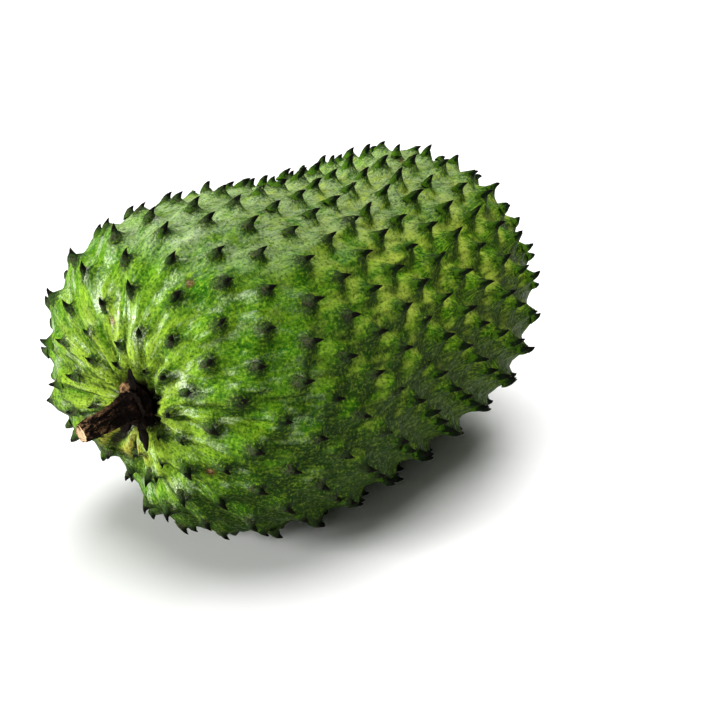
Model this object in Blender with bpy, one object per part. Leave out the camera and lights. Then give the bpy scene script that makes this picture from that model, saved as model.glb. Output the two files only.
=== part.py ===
"""Soursop: a whole picked fruit lying on its side, with its short cut stem.

The rind is one closed surface. Its areoles lie on a golden-angle lattice; the lattice is
turned into cells by a convex hull and its dual, and every cell is raised into a mound that
carries one hooked thorn. Frame: +X from the stem end to the apex, +Z up, metres.
"""

import math
from functools import partial

import bmesh
import bpy
import numpy as np
from mathutils import Matrix

MM = 0.001
SEED = 41

# Body, millimetres: superellipse along +X with a shape radius, a lift and a side offset
# at equal steps from the stem end (0) to the apex (1).
BODY_LENGTH = 196.0
END_EXPONENT = 2.3
SHAPE_RADIUS = (80.0, 69.6, 61.4, 55.9, 55.9, 62.0, 67.0)
LIFT = (10.4, 4.6, 0.7, -1.6, -2.2, -1.6, -0.8)
SIDE = (6.5, 2.9, 0.7, 0.0, 0.4, 1.7, 3.9)
PROFILE_STEPS = 2400
END_ANGLE = 0.004

# Hollow round the stem, set off the middle of the blunt end, and the fold below it.
HOLLOW_SHIFT = (-9.5, -4.5)
HOLLOW_SHIFT_RADIUS = 28.0
HOLLOW_DEPTH = 8.0
HOLLOW_RADIUS = 14.0
FOLD_FROM = (-92.0, 4.0, -20.0)
FOLD_TO = (-78.0, 30.0, -36.0)
FOLD_DEPTH = 9.0
FOLD_RADIUS = 12.0

# Areoles: area of one cell in square millimetres, and how it shrinks at both ends.
CELL_AREA_STEM = 184.0
CELL_AREA_APEX = 158.0
CELL_FADE = (0.25, 0.6)
STEM_CROWDING = (0.42, 12.0, 42.0)
APEX_CROWDING = (0.72, 4.0, 28.0)
STEM_CLEAR_RADIUS = 12.5
GOLDEN_ANGLE = math.pi * (3.0 - math.sqrt(5.0))
LATTICE_JITTER = 0.055

# One cell at full size, millimetres: (towards apex, above the rind, half length, half width).
# RING_LEAN is each ring's share of the tip's own sideways lean.
FOOT_RING = (2.4, 3.0, 2.9, 2.1)
WAIST_RING = (3.5, 4.9, 1.3, 1.0)
TIP = (5.1, 6.8)
RING_LEAN = (0.0, 0.4)
RING_INSET = 0.35
STEM_RELIEF = 0.7
STEM_GIRTH = 0.86
RELIEF_FADE = (0.15, 0.6)
WAIST_CORNERS = 4
FULL_CELL_WIDTH = 13.0
SIZE_SPREAD = 0.10
LEAN_SPREAD = 0.55

# Flat the fruit lies on: this far above the lowest line of the rind between the mounds.
REST_CUT = 0.6
REST_GRID = (160, 180)

# Stem, millimetres. Stations run from inside the socket out to the cut end:
# (distance out, radius, sideways, down).
STEM_STATIONS = (
    (-3.6, 6.0, 0.0, 0.0), (-0.6, 6.6, 0.0, 0.0), (1.2, 8.6, 0.0, 0.0), (2.6, 7.4, 0.0, 0.1),
    (4.4, 5.8, 0.2, 0.1), (6.6, 4.8, 0.4, 0.1), (9.5, 4.2, 0.5, 0.2), (12.5, 3.9, 0.5, 0.3),
    (15.5, 3.7, 0.3, 0.4), (18.5, 3.7, 0.1, 0.5), (21.5, 3.8, 0.0, 0.5), (24.5, 4.0, -0.1, 0.6),
    (26.6, 4.1, -0.1, 0.6), (27.4, 3.7, -0.1, 0.6),
)
CUT_FROM = 25.5
CUT_SLANT = 0.18
STEM_SIDES = 22
STEM_RIDGES = ((5, 0.055, 0.4), (3, 0.05, 1.7), (9, 0.03, 2.6))
SOCKET_RADIUS = 7.9
SOCKET_DEPTH = 4.4

# Dried sepals round the foot of the stem: (turn about the stem in degrees, length, width).
SEPALS = ((0.0, 8.5, 7.5), (115.0, 7.5, 7.0), (250.0, 8.5, 8.0))
SEPAL_THICKNESS = 1.6
SEPAL_RAISE = 30.0
SEPAL_FOOT = 4.6
SEPAL_OUT = 0.9

RIND_COLOUR = (0.10, 0.27, 0.03, 1.0)
BARK_COLOUR = (0.075, 0.042, 0.025, 1.0)


def smooth_through(values, at):
    """Smooth curve through values given at equal steps from 0 to 1."""
    known = np.asarray(values, dtype=float)
    steps = len(known) - 1
    slope = np.gradient(known)
    place = np.clip(np.asarray(at, dtype=float), 0.0, 1.0) * steps
    left = np.minimum(place.astype(int), steps - 1)
    t = place - left
    a, b = known[left], known[left + 1]
    return (a * (2 * t**3 - 3 * t**2 + 1) + slope[left] * (t**3 - 2 * t**2 + t)
            + b * (3 * t**2 - 2 * t**3) + slope[left + 1] * (t**3 - t**2))


def smooth_step(low, high, value):
    """0 below low, 1 above high, smooth between."""
    t = np.clip((np.asarray(value, dtype=float) - low) / (high - low), 0.0, 1.0)
    return t * t * (3.0 - 2.0 * t)


def profile(angle):
    """Place along the body (0 to 1) and radius for a profile angle from the stem end."""
    along = (1.0 - np.cos(angle)) / 2.0
    ends = np.clip(1.0 - np.abs(2.0 * along - 1.0) ** END_EXPONENT, 0.0, 1.0) ** (1.0 / END_EXPONENT)
    return along, ends * smooth_through(SHAPE_RADIUS, along)


def rind_point(angle, turn):
    """Points of the rind between the mounds, millimetres, about the middle of the body."""
    along, radius = profile(angle)
    shift = np.exp(-((radius / HOLLOW_SHIFT_RADIUS) ** 2)) * (along < 0.5)
    hollow = HOLLOW_DEPTH * np.exp(-((radius / HOLLOW_RADIUS) ** 2)) * (along < 0.5)
    points = np.stack([
        (along - 0.5) * BODY_LENGTH + hollow,
        radius * np.cos(turn) + smooth_through(SIDE, along) + shift * HOLLOW_SHIFT[0],
        radius * np.sin(turn) + smooth_through(LIFT, along) + shift * HOLLOW_SHIFT[1],
    ], axis=-1)
    start, line = np.array(FOLD_FROM), np.array(FOLD_TO) - np.array(FOLD_FROM)
    share = np.clip((points - start) @ line / (line @ line), 0.0, 1.0)
    nearest = start + share[..., None] * line
    reach = np.linalg.norm(points - nearest, axis=-1)
    inwards = -nearest / np.linalg.norm(nearest, axis=-1, keepdims=True)
    return points + inwards * (FOLD_DEPTH * np.exp(-((reach / FOLD_RADIUS) ** 2)))[..., None]


def rind_frame(angle, turn):
    """Point, outward normal and direction towards the apex on the rind."""
    step = 0.004
    here = rind_point(angle, turn)
    to_apex = rind_point(angle + step, turn) - rind_point(angle - step, turn)
    around = rind_point(angle, turn + step) - rind_point(angle, turn - step)
    normal = np.cross(around, to_apex)
    normal /= np.linalg.norm(normal)
    to_apex /= np.linalg.norm(to_apex)
    return here, normal, to_apex


def profile_tables():
    """Profile angle against the count of cells and against the angle on the hull sphere."""
    angle = np.linspace(END_ANGLE, math.pi - END_ANGLE, PROFILE_STEPS)
    along, radius = profile(angle)
    x = along * BODY_LENGTH
    length = np.hypot(np.diff(x), np.diff(radius))
    mid_radius = (radius[1:] + radius[:-1]) / 2.0
    mid_along = (along[1:] + along[:-1]) / 2.0
    cell = CELL_AREA_STEM + (CELL_AREA_APEX - CELL_AREA_STEM) * smooth_step(*CELL_FADE, mid_along)
    for (least, inner, outer), side in ((STEM_CROWDING, mid_along < 0.5), (APEX_CROWDING, mid_along >= 0.5)):
        crowded = least + (1.0 - least) * smooth_step(inner, outer, mid_radius)
        cell = np.where(side, cell * crowded, cell)
    cell = np.where((mid_along < 0.5) & (mid_radius < STEM_CLEAR_RADIUS), np.inf, cell)
    count = np.concatenate([[0.0], np.cumsum(2.0 * math.pi * mid_radius * length / cell)])
    conformal = np.concatenate([[0.0], np.cumsum(length / mid_radius)])
    conformal -= conformal[len(conformal) // 2]
    sphere = 2.0 * np.arctan(np.exp(conformal))
    return angle, count, sphere


def areoles(rng):
    """Profile angles and turns of every areole, on a golden-angle lattice."""
    angle, count, _ = profile_tables()
    total = int(count[-1])
    index = np.arange(total) + 0.5
    theta = np.interp(index / total * count[-1], count, angle)
    turn = index * GOLDEN_ANGLE
    radius = profile(theta)[1]
    wobble = LATTICE_JITTER * FULL_CELL_WIDTH
    turn = turn + rng.uniform(-1.0, 1.0, total) * wobble / np.maximum(radius, 12.0)
    theta = theta + rng.uniform(-1.0, 1.0, total) * wobble / (BODY_LENGTH / 2.0)
    return theta, turn


def new_object(name, mesh, collection):
    """Link a mesh as a named object."""
    part = bpy.data.objects.new(name, mesh)
    collection.objects.link(part)
    return part


def evaluated_mesh(part):
    """The object's mesh with its modifiers applied, and the modifiers removed."""
    graph = bpy.context.evaluated_depsgraph_get()
    mesh = bpy.data.meshes.new_from_object(part.evaluated_get(graph))
    part.modifiers.clear()
    part.data = mesh
    return mesh


def apply_boolean(part, other, operation):
    """Apply one Boolean and remove the other object."""
    step = part.modifiers.new(operation.lower(), "BOOLEAN")
    step.operation = operation
    step.solver = "EXACT"
    step.object = other
    bpy.context.view_layer.update()
    evaluated_mesh(part)
    bpy.data.objects.remove(other, do_unlink=True)


def dual_cells():
    """Geometry node group that turns the hull of the areoles into one cell per areole."""
    tree = bpy.data.node_groups.new("areole_cells", "GeometryNodeTree")
    tree.interface.new_socket("Geometry", in_out="INPUT", socket_type="NodeSocketGeometry")
    tree.interface.new_socket("Geometry", in_out="OUTPUT", socket_type="NodeSocketGeometry")
    given = tree.nodes.new("NodeGroupInput")
    dual = tree.nodes.new("GeometryNodeDualMesh")
    result = tree.nodes.new("NodeGroupOutput")
    tree.links.new(given.outputs[0], dual.inputs[0])
    tree.links.new(dual.outputs[0], result.inputs[0])
    return tree


def cell_mesh(collection, theta, turn):
    """One polygon per areole on the unit sphere, as an object."""
    angle, _, sphere = profile_tables()
    polar = np.interp(theta, angle, sphere)
    points = np.stack([-np.cos(polar), np.sin(polar) * np.cos(turn), np.sin(polar) * np.sin(turn)], axis=-1)
    hull = bmesh.new()
    for point in points:
        hull.verts.new(point)
    hull.verts.new((-1.0, 0.0, 0.0))
    bmesh.ops.convex_hull(hull, input=list(hull.verts))
    mesh = bpy.data.meshes.new("fruit")
    hull.to_mesh(mesh)
    hull.free()
    part = new_object("fruit", mesh, collection)
    part.modifiers.new("cells", "NODES").node_group = dual_cells()
    bpy.context.view_layer.update()
    evaluated_mesh(part)
    return part, points


def set_ring(face, centre, axes, half):
    """Move a face's corners to an oval about a centre, keeping each corner's direction."""
    along, across = axes
    for vert in face.verts:
        offset = np.array(vert.co) - centre
        bearing = math.atan2(offset @ across / half[1], offset @ along / half[0])
        vert.co = centre + half[0] * math.cos(bearing) * along + half[1] * math.sin(bearing) * across


def thin_waists(shape, faces):
    """Weld the closest corners of each thorn's waist until WAIST_CORNERS are left."""
    targets = {}
    for face in faces:
        by_length = sorted(face.edges, key=lambda edge: edge.calc_length())
        used = set()
        for edge in by_length:
            kept, welded = edge.verts
            if len(face.verts) - len(used) // 2 <= WAIST_CORNERS or kept in used or welded in used:
                continue
            targets[welded] = kept
            used.update((kept, welded))
    bmesh.ops.weld_verts(shape, targetmap=targets)


def raise_cells(part, points, theta, turn, rng):
    """Raise every cell into a mound with one hooked thorn; returns the middle of the stem's seat."""
    angle, _, sphere = profile_tables()
    shape = bmesh.new()
    shape.from_mesh(part.data)
    shape.faces.ensure_lookup_table()
    owners = []
    for face in shape.faces:
        middle = np.array(face.calc_center_median())
        owners.append(int(np.argmax(points @ (middle / np.linalg.norm(middle)))))
    seat = min(shape.faces, key=lambda f: f.calc_center_median().x)
    for vert in shape.verts:
        unit = np.array(vert.co.normalized())
        own_theta = np.interp(math.acos(max(-1.0, min(1.0, -unit[0]))), sphere, angle)
        vert.co = rind_point(own_theta, math.atan2(unit[2], unit[1]))
    cells = [(face, owners[face.index]) for face in shape.faces if face is not seat]
    frames = {}
    for face, owner in cells:
        here, normal, to_apex = rind_frame(theta[owner], turn[owner])
        size = math.sqrt(face.calc_area()) / FULL_CELL_WIDTH
        size = min(size, 1.05) * (1.0 + rng.uniform(-SIZE_SPREAD, SIZE_SPREAD))
        across = np.cross(normal, to_apex)
        lean = rng.uniform(-LEAN_SPREAD, LEAN_SPREAD)
        full = smooth_step(*RELIEF_FADE, profile(theta[owner])[0])
        relief = STEM_RELIEF + (1.0 - STEM_RELIEF) * full
        girth = STEM_GIRTH + (1.0 - STEM_GIRTH) * full
        frames[face] = (here, normal * relief, to_apex, across, size, girth, lean)
    faces = [face for face, _ in cells]
    for ring, share in zip((FOOT_RING, WAIST_RING), RING_LEAN):
        bmesh.ops.inset_individual(shape, faces=faces, thickness=RING_INSET, depth=0.0)
        for face in faces:
            here, normal, to_apex, across, size, girth, lean = frames[face]
            centre = here + size * (ring[0] * to_apex + ring[1] * normal + share * lean * across)
            set_ring(face, centre, (to_apex, across), (ring[2] * size * girth, ring[3] * size * girth))
    thin_waists(shape, faces)
    for face in faces:
        here, normal, to_apex, across, size, _, lean = frames[face]
        tip = bmesh.ops.poke(shape, faces=[face])["verts"][0]
        tip.co = here + size * (TIP[0] * to_apex + TIP[1] * normal + lean * across)
    bmesh.ops.recalc_face_normals(shape, faces=list(shape.faces))
    floor = np.mean([np.array(vert.co) for vert in seat.verts], axis=0)
    shape.to_mesh(part.data)
    shape.free()
    return floor


def body_object(collection, name, make, place):
    """A closed body made by one bmesh call and put in place by a 4x4 matrix."""
    shape = bmesh.new()
    make(shape, calc_uvs=False)
    bmesh.ops.transform(shape, matrix=place, verts=list(shape.verts))
    mesh = bpy.data.meshes.new(name)
    shape.to_mesh(mesh)
    shape.free()
    return new_object(name, mesh, collection)


def rest_height():
    """Height of the flat the fruit lies on."""
    angle = np.linspace(END_ANGLE, math.pi - END_ANGLE, REST_GRID[0])[:, None]
    turn = np.linspace(0.0, 2.0 * math.pi, REST_GRID[1])[None, :]
    grid = rind_point(np.broadcast_to(angle, REST_GRID), np.broadcast_to(turn, REST_GRID))
    return float(grid[..., 2].min()) + REST_CUT


def build_fruit(collection, rng):
    """The rind: cells, mounds and thorns, the flat below and the socket for the stem."""
    theta, turn = areoles(rng)
    fruit, points = cell_mesh(collection, theta, turn)
    floor = raise_cells(fruit, points, theta, turn, rng)
    rest = rest_height()
    ground = Matrix.Translation((0.0, 0.0, rest - 40.0)) @ Matrix.Diagonal((300.0, 200.0, 80.0, 1.0))
    apply_boolean(fruit, body_object(collection, "ground", partial(bmesh.ops.create_cube, size=1.0), ground),
                  "DIFFERENCE")
    drill = partial(bmesh.ops.create_cone, cap_ends=True, segments=24, radius1=SOCKET_RADIUS,
                    radius2=SOCKET_RADIUS, depth=2.0 * SOCKET_DEPTH)
    across = Matrix.Translation(floor) @ Matrix.Rotation(math.pi / 2.0, 4, "Y")
    apply_boolean(fruit, body_object(collection, "drill", drill, across), "DIFFERENCE")
    return fruit, floor, rest


def set_stem_ring(face, centre, middle, radius, slant):
    """Place a ring of the stem round its new middle, keeping each corner's bearing."""
    for vert in face.verts:
        bearing = math.atan2(vert.co.z - centre[2], vert.co.y - centre[1])
        ridges = 1.0 + sum(depth * math.cos(count * bearing + at) for count, depth, at in STEM_RIDGES)
        vert.co = middle + radius * np.array([slant * math.sin(bearing), ridges * math.cos(bearing),
                                              ridges * math.sin(bearing)])


def stem_tube(shape, floor):
    """Extrude the stem from its plug to the cut end, ring by ring, with ridges along it."""
    bmesh.ops.create_cone(shape, cap_ends=True, segments=STEM_SIDES, radius1=1.0, radius2=1.0,
                          depth=1.0, matrix=Matrix.Rotation(-math.pi / 2.0, 4, "Y"))
    caps = sorted((face for face in shape.faces if len(face.verts) == STEM_SIDES),
                  key=lambda face: -face.calc_center_median().x)
    centre = np.zeros(3)
    for number, (out, radius, sideways, down) in enumerate(STEM_STATIONS):
        if number > 1:
            caps[1] = bmesh.ops.extrude_discrete_faces(shape, faces=[caps[1]])["faces"][0]
        middle = floor + np.array([-out, sideways, -down])
        slant = CUT_SLANT if out > CUT_FROM else 0.0
        set_stem_ring(caps[min(number, 1)], centre, middle, radius, slant)
        if number:
            centre = middle
    bmesh.ops.recalc_face_normals(shape, faces=list(shape.faces))


def build_stem(collection, floor):
    """The woody stem from its plug in the socket to the cut end, with three dried sepals."""
    shape = bmesh.new()
    stem_tube(shape, floor)
    mesh = bpy.data.meshes.new("stem")
    shape.to_mesh(mesh)
    shape.free()
    stem = new_object("stem", mesh, collection)
    for turn, length, width in SEPALS:
        place = (Matrix.Translation(floor + np.array([-SEPAL_OUT, 0.0, 0.0]))
                 @ Matrix.Rotation(math.radians(turn), 4, "X")
                 @ Matrix.Rotation(math.radians(SEPAL_RAISE), 4, "Z")
                 @ Matrix.Translation((0.0, SEPAL_FOOT + length / 2.0, 0.0))
                 @ Matrix.Diagonal((SEPAL_THICKNESS, length, width, 1.0)))
        lens = partial(bmesh.ops.create_uvsphere, u_segments=12, v_segments=8, radius=0.5)
        sepal = body_object(collection, "sepal", lens, place)
        apply_boolean(stem, sepal, "UNION")
    return stem


def finish(part, colour, roughness, offset):
    """Move a part to the shared frame in metres, give it its material and shade it smooth."""
    part.data.transform(Matrix.Scale(MM, 4) @ Matrix.Translation(offset))
    material = bpy.data.materials.new(part.name)
    material.use_nodes = True
    shader = material.node_tree.nodes["Principled BSDF"]
    shader.inputs["Base Color"].default_value = colour
    shader.inputs["Roughness"].default_value = roughness
    part.data.materials.clear()
    part.data.materials.append(material)
    part.data.shade_smooth()


def main():
    for item in list(bpy.data.objects):
        bpy.data.objects.remove(item, do_unlink=True)
    collection = bpy.data.collections.new("soursop")
    bpy.context.scene.collection.children.link(collection)
    rng = np.random.default_rng(SEED)
    fruit, floor, rest = build_fruit(collection, rng)
    stem = build_stem(collection, floor)
    corners = np.array([vert.co for part in (fruit, stem) for vert in part.data.vertices])
    middle = (corners.min(axis=0) + corners.max(axis=0)) / 2.0
    offset = (-middle[0], -middle[1], -rest)
    finish(fruit, RIND_COLOUR, 0.4, offset)
    finish(stem, BARK_COLOUR, 0.85, offset)


main()
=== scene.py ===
"""Soursop lying on its side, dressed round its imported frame.

The rind is one fine closed skin over the source's own body: each areole of the same
golden-angle lattice lifts a mound that leans to the apex, and Geometry Nodes set a corky
hooked thorn on each. The stem is a bark tube with a sawn end and a dried calyx.
Frame: +X from the stem end to the apex, +Z up, metres. Sizes below are millimetres.
"""

import logging
import math
from dataclasses import dataclass
from enum import Enum
from typing import Any

import bpy
import numpy as np
from mathutils import Matrix, Vector


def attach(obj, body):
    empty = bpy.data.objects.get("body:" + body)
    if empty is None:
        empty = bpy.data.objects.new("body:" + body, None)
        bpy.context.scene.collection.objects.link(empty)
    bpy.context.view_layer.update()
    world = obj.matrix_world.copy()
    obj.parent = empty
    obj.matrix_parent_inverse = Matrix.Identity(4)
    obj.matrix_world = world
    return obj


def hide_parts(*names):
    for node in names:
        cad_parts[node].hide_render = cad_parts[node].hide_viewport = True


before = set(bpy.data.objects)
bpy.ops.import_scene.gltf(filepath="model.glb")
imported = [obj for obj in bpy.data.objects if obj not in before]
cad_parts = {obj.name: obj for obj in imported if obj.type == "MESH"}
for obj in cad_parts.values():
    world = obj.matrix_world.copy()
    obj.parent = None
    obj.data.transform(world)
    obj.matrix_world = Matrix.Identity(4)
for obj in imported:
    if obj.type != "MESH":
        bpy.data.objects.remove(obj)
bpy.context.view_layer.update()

LOG = logging.getLogger("soursop")
MM = 0.001
FULL_TURN = 2.0 * math.pi
TINY = 1e-12
# Where the stem leaves the fruit, in the hollow of its stem end.
STEM_SEAT = (-84.33, -2.502, 64.247)
Array = np.ndarray


class Attr(Enum):
    """Values that the meshes carry for their materials, and the thorns' points for their tree."""

    PEAK = "peak"
    NEAR = "near_thorn"
    CORK = "corky"
    ALONG = "along"
    FLOW = "flow"
    SPOKE = "spoke"
    CUP = "stem_cup"
    RIB = "rib"
    SCAR = "scar"
    SKY = "sky"
    STEM_PLEATS = "stem_pleats"
    TIP = "tip"
    STEMWARD = "stemward"
    SHADE = "shade"
    CUT = "cut"
    SEPAL = "sepal"
    OUTWARD = "outward"
    APEXWARD = "apexward"
    GIRTH = "girth"


# ---------------------------------------------------------------- small tools

def smooth_through(values: tuple, at: Array) -> Array:
    """Smooth curve through values given at equal steps from 0 to 1.

    Args:
        values: The curve's values at equal steps.
        at: Places from 0 to 1.

    Returns:
        The curve's value at each place.
    """
    known = np.asarray(values, dtype=float)
    steps = len(known) - 1
    slope = np.gradient(known)
    place = np.clip(np.asarray(at, dtype=float), 0.0, 1.0) * steps
    left = np.minimum(place.astype(int), steps - 1)
    t = place - left
    return (known[left] * (2 * t**3 - 3 * t**2 + 1) + slope[left] * (t**3 - 2 * t**2 + t)
            + known[left + 1] * (3 * t**2 - 2 * t**3) + slope[left + 1] * (t**3 - t**2))


def smooth_step(low: float, high: float, value: Array) -> Array:
    """0 below low, 1 above high, smooth between."""
    t = np.clip((np.asarray(value, dtype=float) - low) / (high - low), 0.0, 1.0)
    return t * t * (3.0 - 2.0 * t)


def bell(distance: Array, reach: float, power: float = 2.0) -> Array:
    """1 at no distance, falling off round reach, more sharply with more power."""
    return np.exp(-((distance / reach) ** power))


def unit(rows: Array) -> Array:
    """Each row at length 1."""
    return rows / np.maximum(np.linalg.norm(rows, axis=-1, keepdims=True), TINY)


def waves(points: Array, length: float, seed: int, count: int = 28) -> Array:
    """Smooth seeded noise made of plane waves, about -1 to 1.

    Args:
        points: Rows of coordinates, millimetres.
        length: Typical wave length, millimetres.
        seed: Seed of the random draw.
        count: Number of waves.

    Returns:
        One value per row.
    """
    slowest, fastest, usual_peak = 0.6, 1.5, 1.6
    rng = np.random.default_rng(seed)
    directions = unit(rng.normal(size=(count, points.shape[1])))
    pace = FULL_TURN / length * rng.uniform(slowest, fastest, count)
    phase = rng.uniform(0.0, FULL_TURN, count)
    total = np.zeros(len(points))
    for direction, speed, start in zip(directions, pace, phase):
        total += np.cos(points @ direction * speed + start)
    return total * math.sqrt(2.0 / count) / usual_peak


def linear(code: str) -> tuple[float, float, float, float]:
    """An sRGB hex colour as linear red, green, blue and alpha."""
    parts = [int(code[i:i + 2], 16) / 255.0 for i in (1, 3, 5)]
    return tuple(p / 12.92 if p <= 0.04045 else ((p + 0.055) / 1.055) ** 2.4 for p in parts) + (1.0,)


def add_node(tree: bpy.types.NodeTree, kind: str, sockets: dict | None = None,
             **settings: Any) -> bpy.types.Node:
    """Add one node, set its properties, and fill or link its sockets.

    Args:
        tree: The node tree to add to.
        kind: Blender's name for the node.
        sockets: Input name or number, and either a value or another node's output.
        settings: Properties of the node.

    Returns:
        The new node.
    """
    node = tree.nodes.new(kind)
    for name, value in settings.items():
        setattr(node, name, value)
    for key, value in (sockets or {}).items():
        if isinstance(value, bpy.types.NodeSocket):
            tree.links.new(value, node.inputs[key])
        else:
            node.inputs[key].default_value = value
    return node


def new_material(name: str) -> tuple[bpy.types.Material, bpy.types.NodeTree, bpy.types.Node]:
    """A new material made of nodes.

    Args:
        name: The material's name.

    Returns:
        The material, its node tree and its Principled shader.
    """
    material = bpy.data.materials.new(name)
    material.use_nodes = True
    return material, material.node_tree, material.node_tree.nodes["Principled BSDF"]


def new_piece(name: str, points: Array, faces: list | Array) -> bpy.types.Object:
    """A linked mesh object, shaded smooth.

    Args:
        name: The object's name.
        points: Rows of millimetres.
        faces: Each face's point numbers.

    Returns:
        The object, at the origin.
    """
    mesh = bpy.data.meshes.new(name)
    mesh.from_pydata((points * MM).tolist(), [], [list(face) for face in faces])
    mesh.shade_smooth()
    piece = bpy.data.objects.new(name, mesh)
    bpy.context.scene.collection.objects.link(piece)
    return piece


def tube_faces(rings: int, sides: int, start: int = 0, mirrored: bool = False) -> list[list[int]]:
    """Faces of a capped tube, wound to face outward.

    Args:
        rings: How many rings the tube has.
        sides: How many points each ring has.
        start: Index of the first point.
        mirrored: True when the rings turn the other way about the tube's run.

    Returns:
        The quads between the rings, then the two caps.
    """
    faces = []
    for low in range(start, start + (rings - 1) * sides, sides):
        for j in range(sides):
            k = (j + 1) % sides
            faces.append([low + j, low + k, low + sides + k, low + sides + j])
    faces.append([start + j for j in reversed(range(sides))])
    faces.append([start + (rings - 1) * sides + j for j in range(sides)])
    return [face[::-1] for face in faces] if mirrored else faces


def carry(mesh: bpy.types.Mesh, values: dict[Attr, Array]) -> None:
    """Store floats or vectors on a mesh, one for each vertex.

    Args:
        mesh: The mesh that carries them.
        values: What they are called, and a row or a number for each vertex.
    """
    for attr, rows in values.items():
        rows = np.ascontiguousarray(rows, dtype=np.float32)
        kind, slot = ("FLOAT", "value") if rows.ndim == 1 else ("FLOAT_VECTOR", "vector")
        mesh.attributes.new(attr.value, kind, "POINT").data.foreach_set(slot, rows.ravel())


def read_points(mesh: bpy.types.Mesh, what: str = "co") -> Array:
    """Vertex places or normals of a mesh.

    Args:
        mesh: The mesh to read.
        what: "co" for places in metres, "normal" for normals.

    Returns:
        One row per vertex.
    """
    flat = np.empty(len(mesh.vertices) * 3, dtype=np.float64)
    mesh.vertices.foreach_get(what, flat)
    return flat.reshape(-1, 3)


def move_points(mesh: bpy.types.Mesh, points: Array) -> None:
    """Put a mesh's vertices at rows of metres."""
    mesh.vertices.foreach_set("co", points.ravel())
    mesh.update()


def apply_nodes(piece: bpy.types.Object, tree: bpy.types.NodeTree, inputs: dict[str, Any]) -> None:
    """Run a Geometry Nodes tree on a piece and keep its result as a plain mesh.

    Args:
        piece: The object to run it on.
        tree: The tree.
        inputs: The tree's inputs by name, and their values.
    """
    step = piece.modifiers.new(tree.name, "NODES")
    step.node_group = tree
    for item in tree.interface.items_tree:
        if item.item_type == "SOCKET" and item.in_out == "INPUT" and item.name in inputs:
            step[item.identifier] = inputs[item.name]
    bpy.context.view_layer.update()
    graph = bpy.context.evaluated_depsgraph_get()
    mesh = bpy.data.meshes.new_from_object(piece.evaluated_get(graph))
    # The tree's own shapes bring an empty material slot, ahead of the one that the tree sets.
    if mesh.materials[0] is None:
        mesh.materials.pop(index=0)
    piece.modifiers.clear()
    piece.data = mesh
    mesh.name = piece.name


def new_tree(name: str, inputs: dict[str, str]) -> tuple[bpy.types.NodeTree, bpy.types.Node, bpy.types.Node]:
    """A Geometry Nodes tree with a geometry input and output and named inputs.

    Args:
        name: The tree's name.
        inputs: Input name, and its socket kind.

    Returns:
        The tree, its group input node and its group output node.
    """
    tree = bpy.data.node_groups.new(name, "GeometryNodeTree")
    tree.interface.new_socket("Geometry", in_out="INPUT", socket_type="NodeSocketGeometry")
    for label, kind in inputs.items():
        tree.interface.new_socket(label, in_out="INPUT", socket_type=kind)
    tree.interface.new_socket("Geometry", in_out="OUTPUT", socket_type="NodeSocketGeometry")
    return tree, tree.nodes.new("NodeGroupInput"), tree.nodes.new("NodeGroupOutput")


# ---------------------------------------------------------------- the body and its areoles

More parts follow.
